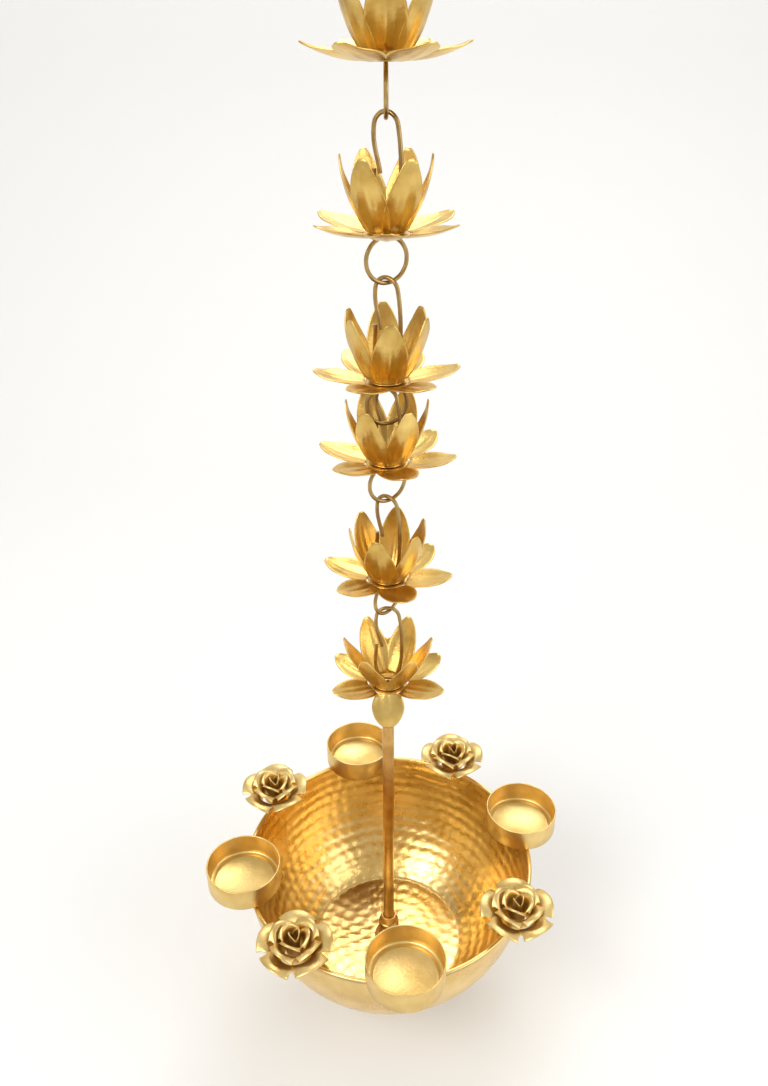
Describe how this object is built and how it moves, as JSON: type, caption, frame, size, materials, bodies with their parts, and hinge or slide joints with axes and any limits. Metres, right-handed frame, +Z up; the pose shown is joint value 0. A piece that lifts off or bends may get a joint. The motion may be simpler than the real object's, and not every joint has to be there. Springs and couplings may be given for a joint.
{
  "type": "hanging urli",
  "caption": "Hanging brass urli: a chain of wire-linked lotus flowers carries a stem rod and a round bowl with tealight cups and roses on its rim.",
  "frame": {"origin": "under the arch of the top wire hanger, where a hook bears", "axes": "+Z up along the chain, +X to the right and +Y away from the viewer"},
  "size_m": [0.201, 0.1998, 0.5262],
  "materials": {
    "wire_brass": "satin, darkened",
    "rose_brass": "satin, pale",
    "cup_brass": "brushed, pale",
    "lotus_brass": "satin, stamped veins",
    "bowl_brass": "hammered inside, brushed outside",
    "rod_brass": "satin"
  },
  "bodies": {
    "lotus_1": {"lotus_1_hanger": "wire_brass", "lotus_1_inner_petals": "lotus_brass", "lotus_1_outer_petals": "lotus_brass", "lotus_1_ring": "wire_brass"},
    "lotus_2": {"lotus_2_hanger": "wire_brass", "lotus_2_inner_petals": "lotus_brass", "lotus_2_outer_petals": "lotus_brass", "lotus_2_ring": "wire_brass"},
    "lotus_3": {"lotus_3_hanger": "wire_brass", "lotus_3_inner_petals": "lotus_brass", "lotus_3_outer_petals": "lotus_brass", "lotus_3_ring": "wire_brass"},
    "lotus_4": {"lotus_4_hanger": "wire_brass", "lotus_4_inner_petals": "lotus_brass", "lotus_4_outer_petals": "lotus_brass", "lotus_4_ring": "wire_brass"},
    "lotus_5": {"lotus_5_hanger": "wire_brass", "lotus_5_inner_petals": "lotus_brass", "lotus_5_outer_petals": "lotus_brass", "lotus_5_ring": "wire_brass"},
    "lotus_6": {"lotus_6_hanger": "wire_brass", "lotus_6_inner_petals": "lotus_brass", "lotus_6_outer_petals": "lotus_brass", "stem_rod": "rod_brass"},
    "bowl_group": {"bowl": "bowl_brass", "stem_socket": "rod_brass", "socket_washer": "rod_brass", "tealight_cup_front": "cup_brass", "tealight_cup_right": "cup_brass", "tealight_cup_back": "cup_brass", "tealight_cup_left": "cup_brass", "rose_front_right_outer_petals": "rose_brass", "rose_front_right_middle_petals": "rose_brass", "rose_front_right_inner_petals": "rose_brass", "rose_front_right_bud": "rose_brass", "rose_back_right_outer_petals": "rose_brass", "rose_back_right_middle_petals": "rose_brass", "rose_back_right_inner_petals": "rose_brass", "rose_back_right_bud": "rose_brass", "rose_back_left_outer_petals": "rose_brass", "rose_back_left_middle_petals": "rose_brass", "rose_back_left_inner_petals": "rose_brass", "rose_back_left_bud": "rose_brass", "rose_front_left_outer_petals": "rose_brass", "rose_front_left_middle_petals": "rose_brass", "rose_front_left_inner_petals": "rose_brass", "rose_front_left_bud": "rose_brass"}
  },
  "joints": [
    {"name": "link_1_swing", "type": "hinge", "parent": "lotus_1", "child": "lotus_2", "pos_m": [0, 0, -0.06225], "axis": [0, 1, 0], "range_deg": [-25, 25]},
    {"name": "link_2_swing", "type": "hinge", "parent": "lotus_2", "child": "lotus_3", "pos_m": [0, 0, -0.1233], "axis": [0.891, 0.454, 0], "range_deg": [-25, 25]},
    {"name": "raised_link_slide", "type": "slide", "parent": "lotus_3", "child": "lotus_4", "axis": [0, 0, 1], "range_m": [-0.0139, 0]},
    {"name": "link_4_swing", "type": "hinge", "parent": "lotus_4", "child": "lotus_5", "pos_m": [0, 0, -0.22215], "axis": [0.866, 0.5, 0], "range_deg": [-25, 25]},
    {"name": "link_5_swing", "type": "hinge", "parent": "lotus_5", "child": "lotus_6", "pos_m": [0, 0, -0.2832], "axis": [0.6561, 0.7547, 0], "range_deg": [-25, 25]},
    {"name": "bowl_turn", "type": "hinge", "parent": "lotus_6", "child": "bowl_group", "pos_m": [0, 0, -0.521], "axis": [0, 0, 1], "continuous": true}
  ]
}
